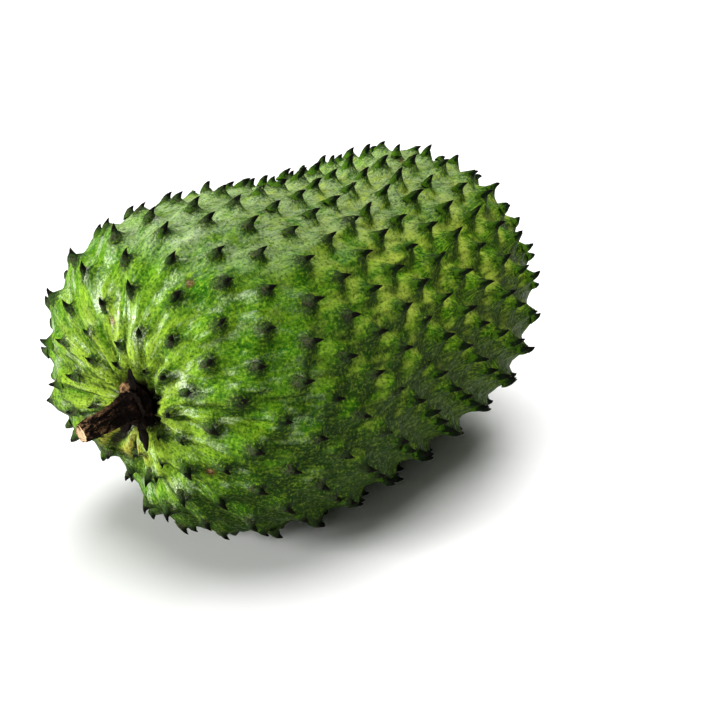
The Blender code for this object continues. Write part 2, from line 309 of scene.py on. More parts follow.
@dataclass(frozen=True)
class Body:
    """The rind between the mounds, as the source makes it, about the middle of the body."""

    length: float = 196.0
    end_exponent: float = 2.3
    shape_radius: tuple = (80.0, 69.6, 61.4, 55.9, 55.9, 62.0, 67.0)
    lift: tuple = (10.4, 4.6, 0.7, -1.6, -2.2, -1.6, -0.8)
    side: tuple = (6.5, 2.9, 0.7, 0.0, 0.4, 1.7, 3.9)
    hollow_shift: tuple = (-9.5, -4.5)
    hollow_shift_radius: float = 28.0
    hollow_depth: float = 8.0
    hollow_radius: float = 14.0
    fold_from: tuple = (-92.0, 4.0, -20.0)
    fold_to: tuple = (-78.0, 30.0, -36.0)
    fold_depth: float = 9.0
    fold_radius: float = 12.0
    middle: tuple = (8.21, -0.962, 58.114)
    end_angle: float = 0.004
    tangent_step: float = 0.004
    steps: int = 2400

    def profile(self, angle: Array) -> tuple[Array, Array]:
        """The body's outline.

        Args:
            angle: Profile angles, 0 at the stem end and pi at the apex.

        Returns:
            Place along the body from 0 to 1, and radius in millimetres.
        """
        along = (1.0 - np.cos(angle)) / 2.0
        left = np.clip(1.0 - np.abs(2.0 * along - 1.0) ** self.end_exponent, 0.0, 1.0)
        return along, left ** (1.0 / self.end_exponent) * smooth_through(self.shape_radius, along)

    def point(self, angle: Array, turn: Array) -> Array:
        """Points of the rind between the mounds.

        Args:
            angle: Profile angles from the stem end.
            turn: Angles round the body.

        Returns:
            Rows of millimetres in the shared frame.
        """
        along, radius = self.profile(angle)
        stem_half = along < 0.5
        shift = bell(radius, self.hollow_shift_radius) * stem_half
        hollow = self.hollow_depth * bell(radius, self.hollow_radius) * stem_half
        points = np.stack([
            (along - 0.5) * self.length + hollow,
            radius * np.cos(turn) + smooth_through(self.side, along) + shift * self.hollow_shift[0],
            radius * np.sin(turn) + smooth_through(self.lift, along) + shift * self.hollow_shift[1],
        ], axis=-1)
        start = np.array(self.fold_from)
        line = np.array(self.fold_to) - start
        share = np.clip((points - start) @ line / (line @ line), 0.0, 1.0)
        nearest = start + share[..., None] * line
        fold = self.fold_depth * bell(np.linalg.norm(points - nearest, axis=-1), self.fold_radius)
        return points - unit(nearest) * fold[..., None] + np.array(self.middle)

    def frames(self, angle: Array, turn: Array) -> tuple[Array, Array, Array]:
        """How the rind lies at places on it.

        Args:
            angle: Profile angles from the stem end.
            turn: Angles round the body.

        Returns:
            Points, outward normals and directions towards the apex.
        """
        step = self.tangent_step
        to_apex = self.point(angle + step, turn) - self.point(angle - step, turn)
        around = self.point(angle, turn + step) - self.point(angle, turn - step)
        return self.point(angle, turn), unit(np.cross(around, to_apex)), unit(to_apex)

    def table(self) -> tuple[Array, Array, Array, Array]:
        """The outline in small steps.

        Returns:
            Profile angles, and the place along, radius and arc length at each.
        """
        angle = np.linspace(self.end_angle, math.pi - self.end_angle, self.steps)
        along, radius = self.profile(angle)
        run = np.concatenate([[0.0], np.cumsum(np.hypot(np.diff(along * self.length), np.diff(radius)))])
        return angle, along, radius, run


@dataclass
class Areoles:
    """Every areole of the fruit: the source's golden-angle lattice and each cell's draw.

    A cell's area is given for the stem half and for the apex half, in square millimetres. The cells
    crowd towards each end, and crowding says how for the stem end and the apex: (least share of the
    area, body radius where it is reached, body radius where it starts).
    """

    body: Body
    seed: int = 41
    cell_area: tuple = (184.0, 158.0)
    cell_fade: tuple = (0.25, 0.6)
    crowding: tuple = ((0.42, 12.0, 42.0), (0.72, 4.0, 28.0))
    clear_radius: float = 12.5
    golden_angle: float = math.pi * (3.0 - math.sqrt(5.0))
    jitter: float = 0.055
    jitter_radius: float = 12.0
    full_width: float = 13.0
    widest: float = 1.05
    size_spread: float = 0.10
    lean_spread: float = 0.55
    stem_relief: float = 0.7
    stem_girth: float = 0.86
    relief_fade: tuple = (0.15, 0.6)
    foot: float = 2.4

    def __post_init__(self) -> None:
        """Lay out the lattice and work out each areole's frame and size."""
        angle, along, radius, run = self.body.table()
        mid_angle, mid_along, mid_radius = ((row[1:] + row[:-1]) / 2.0 for row in (angle, along, radius))
        stem_cell, apex_cell = self.cell_area
        cell = stem_cell + (apex_cell - stem_cell) * smooth_step(*self.cell_fade, mid_along)
        for (least, inner, outer), side in zip(self.crowding, (mid_along < 0.5, mid_along >= 0.5)):
            fewer = least + (1.0 - least) * smooth_step(inner, outer, mid_radius)
            cell = np.where(side, cell * fewer, cell)
        free = (mid_along < 0.5) & (mid_radius < self.clear_radius)
        share = np.where(free, 0.0, FULL_TURN * mid_radius * np.diff(run) / cell)
        count = np.concatenate([[0.0], np.cumsum(share)])
        total = int(count[-1])
        index = np.arange(total) + 0.5
        theta = np.interp(index / total * count[-1], count, angle)
        rng = np.random.default_rng(self.seed)
        wobble = self.jitter * self.full_width
        swing = wobble / np.maximum(self.body.profile(theta)[1], self.jitter_radius)
        turn = index * self.golden_angle + rng.uniform(-1.0, 1.0, total) * swing
        own_cell = np.interp(theta, mid_angle, cell)
        theta = theta + rng.uniform(-1.0, 1.0, total) * wobble / (self.body.length / 2.0)
        draws = rng.uniform(-1.0, 1.0, (total, 2))
        self.along, _ = self.body.profile(theta)
        self.here, self.normal, self.to_apex = self.body.frames(theta, turn)
        self.across = np.cross(self.normal, self.to_apex)
        width = np.minimum(np.sqrt(own_cell) / self.full_width, self.widest)
        self.size = width * (1.0 + self.size_spread * draws[:, 0])
        self.lean = self.lean_spread * draws[:, 1]
        full = smooth_step(*self.relief_fade, self.along)
        self.relief = self.stem_relief + (1.0 - self.stem_relief) * full
        self.girth = self.stem_girth + (1.0 - self.stem_girth) * full


# ---------------------------------------------------------------- patterns and finishes

@dataclass(frozen=True)
class Grain:
    """Noise with features about width millimetres wide.

    It lies in the piece's own place, or follows a vector that the mesh carries.
    """

    name: str
    width: float
    detail: float = 2.0
    follows: Attr | None = None


@dataclass(frozen=True)
class Facing:
    """How squarely the surface faces a way."""

    name: str
    way: tuple[float, float, float]


@dataclass(frozen=True)
class Broken:
    """A carried value whose edge a grain breaks up, over a spread."""

    name: str
    value: Attr
    grain: str
    spread: float


@dataclass(frozen=True)
class Fade:
    """A smooth rise of a pattern or a carried value, from 0 at low to full at high."""

    of: str | Attr
    low: float
    high: float
    full: float = 1.0


@dataclass(frozen=True)
class Patch:
    """A named product of fades, other patterns and carried values."""

    name: str
    parts: tuple


Pattern = Grain | Facing | Broken | Patch


@dataclass(frozen=True)
class Coat:
    """A colour laid over those before it, as thick as the product of its parts."""

    colour: str
    parts: tuple


@dataclass(frozen=True)
class Dullness:
    """Roughness that runs evenly from a start at low to an end at high of a pattern."""

    of: str
    low: float
    high: float
    start: float
    end: float


@dataclass(frozen=True)
class SoursopRind:
    """Fresh soursop skin: a thin waxy cuticle over green leathery rind, finely flecked.

    The cuticle gives a low sheen that breaks into specks, partly painted in as pale glints, with a painted
    grey sheen of the sky on top, and the valleys are paler than the mounds.
    """

    name: str = "fresh_waxy_soursop_rind"
    base: str = "#447c05"
    deep: str = "#276203"
    young: str = "#7ea318"
    valley: str = "#b3c24c"
    mound: str = "#48652b"
    cup: str = "#9db83a"
    root: str = "#18220e"
    bloom_and_sky_sheen: str = "#869a70"
    painted_under_shade: str = "#142c04"
    halo_and_foot_shade: str = "#1c3f0a"
    fleck_and_crest_light: str = "#95b62c"
    speck_and_crease_shade: str = "#173a02"
    pale: str = "#b4c98a"
    olive: str = "#a29e3a"
    seat: str = "#181108"
    cork: str = "#443c30"
    rim: str = "#4a2c18"
    scar: str = "#8f6f4a"
    wax_glint: str = "#b7d48a"
    dullness: Dullness = Dullness("net", 0.35, 0.65, 0.62, 0.4)
    specular: float = 0.05
    bumps: tuple = (("fibre", 0.7), ("bristle", 0.25), ("net", 0.5))
    wax_over: str = "wax_glint"
    wax_bumps: tuple = (("fibre", 0.35), ("net", 0.35))
    wax_roughness: float = 0.14
    wax_ior: float = 1.7

    def patterns(self) -> tuple[Pattern, ...]:
        """The rind's patterns.

        Returns:
            Grains, facings, broken edges and patches, each after those that it needs.
        """
        return (
            # Fibres run from the stem to the apex, hairs run out from each thorn.
            Grain("fibre", 2.2, 2.0, Attr.FLOW), Grain("streak", 1.1, 3.0, Attr.FLOW),
            Grain("band", 7.0, 3.0, Attr.FLOW), Grain("drip", 5.0, 2.0, Attr.FLOW),
            Grain("hair", 0.4, 3.0, Attr.SPOKE), Grain("bristle", 0.5, 1.0, Attr.SPOKE),
            # The skin's own net of cells is finer than this, and is drawn 1.1 mm wide so that it shows.
            # Then the speckle of the top's grey film and painted sky sheen, of the cuticle's painted glints,
            # and broader and broader patches.
            Grain("net", 1.1, 5.0), Grain("bloom_grain", 0.7, 3.0), Grain("wax_grain", 0.8, 3.0),
            Grain("crumb", 1.2, 3.0), Grain("blotch", 9.0), Grain("haze", 10.0), Grain("run", 13.0),
            Grain("field", 16.0),
            Facing("facing_light", (-0.6, 0.0, 0.8)), Facing("upper", (0.0, 0.35, 1.0)),
            Facing("left", (0.0, 1.0, 0.0)),
            Broken("worn", Attr.SCAR, "wax_grain", 1.7),
            Patch("apex", (Fade(Attr.ALONG, 0.3, 0.65),)),
            # The top, where it faces the sky: the mask of the painted grey sheen.
            Patch("high", (Fade(Attr.SKY, 0.72, 0.94), Fade("upper", 0.0, 0.7), Fade("haze", 0.22, 0.52))),
            # Patches near the stem on the side facing the light: where the clear coat glints and glints are
            # painted.
            Patch("wax_glint", (Fade("drip", 0.46, 0.6), Fade("run", 0.42, 0.57), Fade("left", 1.25, 0.5),
                          Fade("facing_light", 0.1, 0.5), Fade(Attr.ALONG, 0.25, 0.05))),
        )

    def coats(self) -> tuple[Coat, ...]:
        """The rind's colours over its base.

        Returns:
            Coats, the last on top.
        """
        return (
            # Broad patches of deeper green, and yellow-green bands along the fibres.
            Coat(self.deep, (Fade("field", 0.35, 0.58, 0.95),)),
            Coat(self.young, (Fade("band", 0.52, 0.7, 0.6),)),
            # Valleys turn yellow-green towards the apex, and the mounds there deepen.
            Coat(self.valley, (Fade(Attr.PEAK, 0.42, 0.06), Fade(Attr.ALONG, 0.08, 0.5),
                               Fade("blotch", 0.38, 0.6, 0.8))),
            Coat(self.mound, (Fade(Attr.PEAK, 0.35, 0.8), Fade("apex", 0.0, 1.0, 0.5))),
            # Pleats drawn together round the stem, yellow-green, pale on their crests, partly painted light,
            # and dark between with painted shade.
            Coat(self.cup, (Attr.CUP, Fade("band", 0.28, 0.52, 0.85))),
            Coat(self.cup, (Fade(Attr.RIB, 0.1, 0.8, 0.6),)),
            Coat(self.root, (Fade(Attr.RIB, -0.15, -0.7, 0.75),)),
            # A grey waxy film and a painted grey sheen of the sky on top, painted shade below, and round
            # each thorn a deeper green that is partly painted shade.
            Coat(self.bloom_and_sky_sheen, ("high", Fade("fibre", 0.25, 0.6, 0.9))),
            Coat(self.painted_under_shade, (Fade("facing_light", 0.62, 0.04, 0.95),)),
            Coat(self.halo_and_foot_shade, (Fade(Attr.NEAR, 0.02, 0.5, 0.8), Fade("net", 0.7, 0.42))),
            # Flecks about 1 mm wide; on the skin's net they are painted light on its crests and painted shade
            # between them.
            Coat(self.fleck_and_crest_light, (Fade("streak", 0.5, 0.74, 0.35),)),
            Coat(self.speck_and_crease_shade, (Fade("streak", 0.5, 0.28, 0.5),)),
            Coat(self.fleck_and_crest_light, (Fade("net", 0.5, 0.68, 0.5),)),
            Coat(self.speck_and_crease_shade, (Fade("net", 0.5, 0.34, 0.7),)),
            Coat(self.fleck_and_crest_light, ("apex", Fade("hair", 0.5, 0.68, 0.5))),
            Coat(self.speck_and_crease_shade, ("apex", Fade("hair", 0.48, 0.32, 0.45))),
            # Pale speckle on top: the grey film with its painted sky sheen.
            Coat(self.pale, ("high", Fade("bloom_grain", 0.52, 0.66, 0.5))),
            # Painted shade again, over the flecks, on the side turned from the light.
            Coat(self.painted_under_shade, (Fade("facing_light", 0.55, -0.05, 0.42),)),
            # Pleats on one side of the stem are olive, partly their own colour and partly painted light where
            # the stem shades them, and the folds between are black with painted shade.
            Coat(self.olive, (Fade(Attr.STEM_PLEATS, 0.1, 0.7), Fade(Attr.RIB, -0.4, 0.3),
                              Fade("net", 0.34, 0.54, 0.85))),
            Coat(self.seat, (Fade(Attr.STEM_PLEATS, 0.1, 0.6), Fade(Attr.RIB, -0.1, -0.6, 0.9))),
            # Corky on the side of a thorn that faces the stem, and near black with painted shade at its root.
            Coat(self.cork, (Attr.CORK, Fade(Attr.ALONG, 0.7, 0.35), Fade("crumb", 0.35, 0.6, 0.4))),
            Coat(self.root, (Fade(Attr.NEAR, 0.45, 0.9, 0.9), Fade("net", 0.8, 0.45))),
            # Painted shade, near black, deep in the hollow round the stem's seat.
            Coat(self.seat, (Fade(Attr.CUP, 0.86, 0.95),)),
            # Rubbed scars a few millimetres wide, tan inside a brown rim.
            Coat(self.rim, (Fade("worn", 0.35, 0.6, 0.75),)),
            Coat(self.scar, (Fade("worn", 0.65, 0.95, 0.8),)),
            # Painted glints in pale speckled streaks round the stem; only there does the cuticle's clear coat
            # glint too.
            Coat(self.wax_glint, ("wax_glint", Fade("wax_grain", 0.46, 0.6, 0.55))),
        )


@dataclass(frozen=True)
class CorkyThorn:
    """Dried soursop thorn: corky at its foot, drying to a black tip, dull."""

    name: str = "dried_corky_thorn"
    base: str = "#3c6010"
    fleck_and_crest_light: str = "#66832c"
    dark: str = "#1f2f15"
    shade: str = "#0f1c0c"
    moss: str = "#374c27"
    cork: str = "#453d33"
    pit: str = "#1b1912"
    tip: str = "#0e0c09"
    dullness: float = 0.7
    specular: float = 0.02
    bumps: tuple = (("grain", 0.5), ("pit", 0.35))

    def patterns(self) -> tuple[Pattern, ...]:
        """The thorns' patterns.

        Returns:
            Grains, facings, broken edges and patches, each after those that it needs.
        """
        return (
            Grain("grain", 1.3, 3.0), Grain("pit", 0.7, 3.0), Grain("patch", 2.2),
            Facing("facing_light", (-0.6, 0.45, 0.65)),
            Broken("dried", Attr.TIP, "grain", 0.9),
            Patch("corky", (Fade(Attr.STEMWARD, -0.5, 0.2), Fade("dried", 0.85, 0.55),
                            Fade(Attr.ALONG, 0.45, 0.18), Fade(Attr.SHADE, 0.0, 0.4, 0.9))),
        )

    def coats(self) -> tuple[Coat, ...]:
        """The thorns' colours over their base.

        Returns:
            Coats, the last on top.
        """
        return (
            # Deep green from the foot up, lighter on the crests of its pits as painted light, darker as it
            # dries, and nearly black with painted shade on the side turned from the light.
            Coat(self.fleck_and_crest_light, (Fade("pit", 0.5, 0.7, 0.5),)),
            Coat(self.dark, (Fade("dried", 0.1, 0.5, 0.8),)),
            Coat(self.shade, (Fade("facing_light", 0.55, 0.3, 0.97), Fade("dried", 0.1, 0.35))),
            # Grey-brown cork with dark pits, partly painted shade in their hollows, on the thorns of the stem
            # half only.
            Coat(self.moss, ("corky", Fade("dried", 0.0, 0.15, 0.8))),
            Coat(self.cork, ("corky", Fade("patch", 0.45, 0.6, 0.65))),
            Coat(self.pit, ("corky", Fade("pit", 0.52, 0.4, 0.9))),
            Coat(self.tip, (Fade("dried", 0.45, 0.7),)),
        )


@dataclass(frozen=True)
class WoodyStem:
    """Rough soursop stem: dark fissured bark, and pale sapwood where it was cut."""

    name: str = "rough_bark_and_cut_wood"
    base: str = "#21150f"
    ridge: str = "#4b3426"
    tan: str = "#9a7652"
    crack: str = "#090605"
    black_and_crevice_shade: str = "#0e0a07"
    wood: str = "#bda27e"
    heart: str = "#6e5236"
    dullness: float = 0.75
    specular: float = 0.03
    bumps: tuple = (("lichen", 0.5), ("grit", 0.35))

    def patterns(self) -> tuple[Pattern, ...]:
        """The stem's patterns.

        Returns:
            Grains, facings, broken edges and patches, each after those that it needs.
        """
        return (
            Grain("lichen", 2.6, 3.0), Grain("pit", 0.9, 3.0), Grain("knob_pit", 0.8, 3.0),
            Grain("grit", 0.6, 3.0), Grain("pore", 0.8, 2.0, Attr.FLOW),
            Facing("facing_light", (-0.45, 0.45, 0.77)),
            Patch("knob", (Fade(Attr.SEPAL, -0.4, -0.9),)),
            Patch("sawn", (Fade(Attr.CUT, 0.3, 0.6),)),
        )

    def coats(self) -> tuple[Coat, ...]:
        """The stem's colours over its base.

        Returns:
            Coats, the last on top.
        """
        return (
            # Brown ridges and dark fissures, partly painted shade, and tan in patches towards the cut;
            # painted shade on the side turned from the light, and darker towards the foot.
            Coat(self.ridge, (Fade(Attr.PEAK, 0.48, 0.92, 0.65),)),
            Coat(self.tan, (Fade(Attr.ALONG, 0.4, 1.0), Fade("lichen", 0.44, 0.6, 0.8))),
            Coat(self.crack, (Fade(Attr.PEAK, 0.42, 0.14, 0.95),)),
            Coat(self.crack, (Fade("pit", 0.5, 0.4, 0.7),)),
            Coat(self.crack, (Fade("facing_light", 0.7, 0.25, 0.94), Fade("lichen", 0.78, 0.48))),
            Coat(self.crack, (Fade(Attr.ALONG, 0.6, 0.2, 0.75), Fade("lichen", 0.66, 0.48))),
            # Near-black sepals, two of them long flaps of painted shadow in the crevices by the stem, and a
            # bare tan knob among them.
            Coat(self.black_and_crevice_shade, (Fade(Attr.SEPAL, 0.4, 0.9, 0.9),)),
            Coat(self.tan, ("knob", Fade("lichen", 0.3, 0.5, 0.8))),
            Coat(self.crack, ("knob", Fade("knob_pit", 0.5, 0.38, 0.8))),
            # Pale sapwood and its darker pores on the sawn face, and the split in it.
            Coat(self.wood, ("sawn",)),
            Coat(self.heart, ("sawn", Fade("pore", 0.45, 0.65, 0.6))),
            Coat(self.crack, (Fade(Attr.NEAR, 0.3, 0.8, 0.95),)),
        )


Finish = SoursopRind | CorkyThorn | WoodyStem


class Painter:
    """Paints one finish: its patterns, its coats of colour, its bumps and its gloss."""

    grain_roughness: float = 0.62

    def __init__(self, finish: Finish) -> None:
        """Start an empty material.

        Args:
            finish: What the material is painted as.
        """
        self.finish = finish
        self.material, self.tree, self.shader = new_material(finish.name)
        self.facing = add_node(self.tree, "ShaderNodeNewGeometry").outputs["Normal"]
        place = add_node(self.tree, "ShaderNodeTexCoord").outputs["Object"]
        self.place = add_node(self.tree, "ShaderNodeVectorMath", {0: place, "Scale": 1.0 / MM},
                              operation="SCALE").outputs["Vector"]
        self.known: dict[str | Attr, bpy.types.NodeSocket] = {}

    def find(self, what: str | Attr) -> bpy.types.NodeSocket:
        """A pattern made before, or a number that the mesh carries.

        Args:
            what: The pattern's name, or the carried number.

        Returns:
            Its socket.
        """
        if what not in self.known:
            node = add_node(self.tree, "ShaderNodeAttribute", attribute_name=what.value)
            self.known[what] = node.outputs["Fac"]
        return self.known[what]

    def product(self, parts: tuple) -> bpy.types.NodeSocket:
        """Fades and patterns multiplied together.

        Args:
            parts: Fades, names of patterns and carried values.

        Returns:
            The product's socket.
        """
        whole = None
        for part in parts:
            if isinstance(part, Fade):
                share = add_node(self.tree, "ShaderNodeMapRange",
                                 {0: self.find(part.of), 1: part.low, 2: part.high, 3: 0.0, 4: part.full},
                                 interpolation_type="SMOOTHSTEP").outputs[0]
            else:
                share = self.find(part)
            whole = share if whole is None else add_node(
                self.tree, "ShaderNodeMath", {0: whole, 1: share}, operation="MULTIPLY").outputs[0]
        return whole

    def pattern(self, wanted: Pattern) -> bpy.types.NodeSocket:
        """The nodes of one named pattern.

        Args:
            wanted: The pattern's description.

        Returns:
            The pattern's socket.
        """
        if isinstance(wanted, Grain):
            space = self.place
            if wanted.follows:
                space = add_node(self.tree, "ShaderNodeAttribute",
                                 attribute_name=wanted.follows.value).outputs["Vector"]
            return add_node(self.tree, "ShaderNodeTexNoise",
                            {"Vector": space, "Scale": 1.0 / wanted.width, "Detail": wanted.detail,
                             "Roughness": self.grain_roughness}).outputs["Fac"]
        if isinstance(wanted, Facing):
            return add_node(self.tree, "ShaderNodeVectorMath", {0: self.facing, 1: wanted.way},
                            operation="DOT_PRODUCT").outputs["Value"]
        if isinstance(wanted, Broken):
            centred = add_node(self.tree, "ShaderNodeMath", {0: self.find(wanted.grain), 1: 0.5},
                               operation="SUBTRACT").outputs[0]
            return add_node(self.tree, "ShaderNodeMath",
                            {0: centred, 1: wanted.spread, 2: self.find(wanted.value)},
                            operation="MULTIPLY_ADD").outputs[0]
        return self.product(wanted.parts)

    def bump(self, socket: str, bumps: tuple) -> None:
        """Drive one of the shader's normals by patterns.

        Args:
            socket: The normal's name.
            bumps: Names of patterns, each with its depth in millimetres.
        """
        sockets: dict = {}
        for name, depth in bumps:
            sockets.update({"Height": self.find(name), "Distance": depth * MM, "Strength": 1.0})
            sockets["Normal"] = add_node(self.tree, "ShaderNodeBump", sockets).outputs[0]
        self.tree.links.new(sockets["Normal"], self.shader.inputs[socket])

    def paint(self) -> bpy.types.Material:
        """Paint the finish.

        Returns:
            The finished material.
        """
        finish, shader = self.finish, self.shader.inputs
        for wanted in finish.patterns():
            self.known[wanted.name] = self.pattern(wanted)
        colour: Any = linear(finish.base)
        for coat in finish.coats():
            colour = add_node(self.tree, "ShaderNodeMix",
                              {"Factor": self.product(coat.parts), 6: colour, 7: linear(coat.colour)},
                              data_type="RGBA").outputs[2]
        self.tree.links.new(colour, shader["Base Color"])
        dull = finish.dullness
        if isinstance(dull, Dullness):
            even = add_node(self.tree, "ShaderNodeMapRange",
                            {0: self.find(dull.of), 1: dull.low, 2: dull.high, 3: dull.start, 4: dull.end})
            self.tree.links.new(even.outputs[0], shader["Roughness"])
        else:
            shader["Roughness"].default_value = dull
        shader["Specular IOR Level"].default_value = finish.specular
        self.bump("Normal", finish.bumps)
        if isinstance(finish, SoursopRind):
            self.tree.links.new(self.find(finish.wax_over), shader["Coat Weight"])
            shader["Coat Roughness"].default_value = finish.wax_roughness
            shader["Coat IOR"].default_value = finish.wax_ior
            self.bump("Coat Normal", finish.wax_bumps)
        return self.material


# ---------------------------------------------------------------- sub-assemblies

@dataclass(frozen=True)
class Ripple:
    """Waves of relief: their height, their length and the seed of their draw."""

    height: float
    length: float
    seed: int

    def over(self, points: Array) -> Array:
        """The waves' height at each point."""
        return self.height * waves(points, self.length, self.seed)


@dataclass
class Rind:
    """The fruit's skin: a closed quad grid on the body, lifted into mounds and ribs.

    A mound is an oval, mound_reach long and wide, whose thorn stands mound_back of its middle. Scars
    and the pleat spots below the stem are (profile angle, turn) on the body.
    """

    body: Body
    areoles: Areoles
    divisions: int = 128
    batch: int = 6000
    mound_height: float = 5.3
    mound_reach: tuple = (7.3, 6.9)
    mound_back: float = 2.4
    mound_near: int = 6
    dome_share: float = 0.28
    spike_power: float = 2.7
    blend_power: int = 5
    least_steep: float = 1e-9
    least_room: float = 1e-6
    side_step: float = 0.4
    lean: float = 0.4
    thorn_stretch: tuple = (1.15, 0.9)
    thorn_reach: float = 3.9
    thorn_edge: int = 3
    cork_back: float = 1.9
    cork_reach: float = 2.6
    cork_edge: int = 4
    spoke_turns: float = 4.0
    rib_count: int = 15
    rib_height: float = 1.5
    rib_radius: float = 32.0
    rib_start: float = 9.0
    rib_wander: Ripple = Ripple(2.2, 40.0, 5)
    rib_break: Ripple = Ripple(0.5, 9.0, 31)
    fibres: Ripple = Ripple(0.28, 4.5, 11)
    drape: Ripple = Ripple(0.55, 12.0, 23)
    swell: Ripple = Ripple(0.5, 24.0, 7)
    flow_radius: float = 60.0
    flow_stretch: float = 0.45
    scars: tuple = ((0.591, 2.016), (2.131, 1.588), (0.271, 1.388), (0.439, -2.601), (0.820, -1.038),
                    (1.3, 0.4), (1.9, -1.2), (2.5, 2.7))
    scar_radius: float = 1.9
    scar_depth: float = 0.5
    pleat_spots: tuple = ((0.195, -1.248),)
    pleat_radius: float = 11.0

    def grid(self, material: bpy.types.Material) -> bpy.types.Object:
        """A closed cube of even quads from -1 to 1, ready to be laid on the body.

        Args:
            material: The rind's material.

        Returns:
            The rind's object, still a cube.
        """
        tree, given, result = new_tree("rind_grid", {"Corners": "NodeSocketInt",
                                                     "Material": "NodeSocketMaterial"})
        cube = add_node(tree, "GeometryNodeMeshCube", {"Size": (2.0, 2.0, 2.0)})
        for name in ("Vertices X", "Vertices Y", "Vertices Z"):
            tree.links.new(given.outputs["Corners"], cube.inputs[name])
        final = add_node(tree, "GeometryNodeSetMaterial",
                         {"Geometry": cube.outputs["Mesh"], "Material": given.outputs["Material"]})
        tree.links.new(final.outputs[0], result.inputs[0])
        piece = new_piece("rind", np.zeros((1, 3)), [])
        apply_nodes(piece, tree, {"Corners": self.divisions + 1, "Material": material})
        return piece

    def lay(self, mesh: bpy.types.Mesh) -> tuple[Array, Array]:
        """Lay the grid on the body by arc length.

        Args:
            mesh: The cube of quads.

        Returns:
            Profile angle and turn of each vertex.
        """
        way = unit(np.tan(read_points(mesh) * (math.pi / 4.0)))
        polar = np.arccos(np.clip(-way[:, 0], -1.0, 1.0))
        angle, _, _, run = self.body.table()
        theta = np.interp(polar / math.pi * run[-1], run, angle)
        return theta, np.arctan2(way[:, 2], way[:, 1])

    def relief(self, base: Array) -> dict[str, Array]:
        """Mounds over the base points.

        Args:
            base: Points of the body, millimetres.

        Returns:
            Height, lean direction and the values the material reads, one per point.
        """
        a = self.areoles
        out = {key: np.zeros(len(base)) for key in ("height", "near", "corky", "peak")}
        out |= {key: np.zeros((len(base), 3)) for key in ("push", "spoke")}
        (long, wide), back = self.mound_reach, self.mound_back
        for start in range(0, len(base), self.batch):
            rows = slice(start, start + self.batch)
            gap = base[rows, None, :] - a.here[None, :, :]
            pick = np.argpartition((gap ** 2).sum(-1), self.mound_near, axis=1)[:, :self.mound_near]
            gap = np.take_along_axis(gap, pick[..., None], axis=1)
            size, girth = a.size[pick], a.girth[pick]
            x = (gap * a.to_apex[pick]).sum(-1) / size - a.foot
            y = (gap * a.across[pick]).sum(-1) / size - self.side_step * a.lean[pick]
            # How far out a point lies on its ray from the thorn's foot to the mound's oval edge.
            steep = (x / long) ** 2 + (y / wide) ** 2 + self.least_steep
            toward = x * back / long ** 2
            room = (-toward + np.sqrt(toward ** 2 + steep * (1.0 - (back / long) ** 2))) / steep
            rho = 1.0 / np.maximum(room, self.least_room)
            dome = np.clip(1.0 - rho ** 2, 0.0, 1.0) ** 2
            spike = np.clip(1.0 - rho, 0.0, 1.0) ** self.spike_power
            shape = self.dome_share * dome + (1.0 - self.dome_share) * spike
            lift = self.mound_height * size * a.relief[pick] * shape
            weight = lift ** self.blend_power
            total = weight.sum(1) ** (1.0 / self.blend_power)
            share = weight / np.maximum(weight.sum(1, keepdims=True), TINY)
            thorn = np.hypot(x / (self.thorn_stretch[0] * girth), y / (self.thorn_stretch[1] * girth))
            out["height"][rows] = total
            out["push"][rows] = (share[..., None] * a.to_apex[pick]).sum(1) * total[:, None]
            out["near"][rows] = bell(thorn, self.thorn_reach, self.thorn_edge).max(1)
            cork = np.hypot(x + self.cork_back, y)
            out["corky"][rows] = bell(cork, self.cork_reach, self.cork_edge).max(1)
            best = np.argmax(lift, axis=1)[:, None]
            here_x, here_y, here_rho, out["peak"][rows] = (
                np.take_along_axis(v, best, 1)[:, 0] for v in (x, y, rho, shape))
            bearing = np.arctan2(here_y, here_x)
            out["spoke"][rows] = np.stack(
                [self.spoke_turns * np.cos(bearing), self.spoke_turns * np.sin(bearing), here_rho], axis=-1)
        return out

    def spots(self, base: Array, places: tuple, radius: float) -> Array:
        """How near each point is to the nearest of some places on the body.

        Args:
            base: Points of the body, millimetres.
            places: Profile angle and turn of each place.
            radius: How wide a spot is, millimetres.

        Returns:
            1 at a place, falling off round the radius.
        """
        marks = self.body.point(*np.array(places).T)
        return bell(np.linalg.norm(base[:, None, :] - marks[None, :, :], axis=-1).min(axis=1), radius)

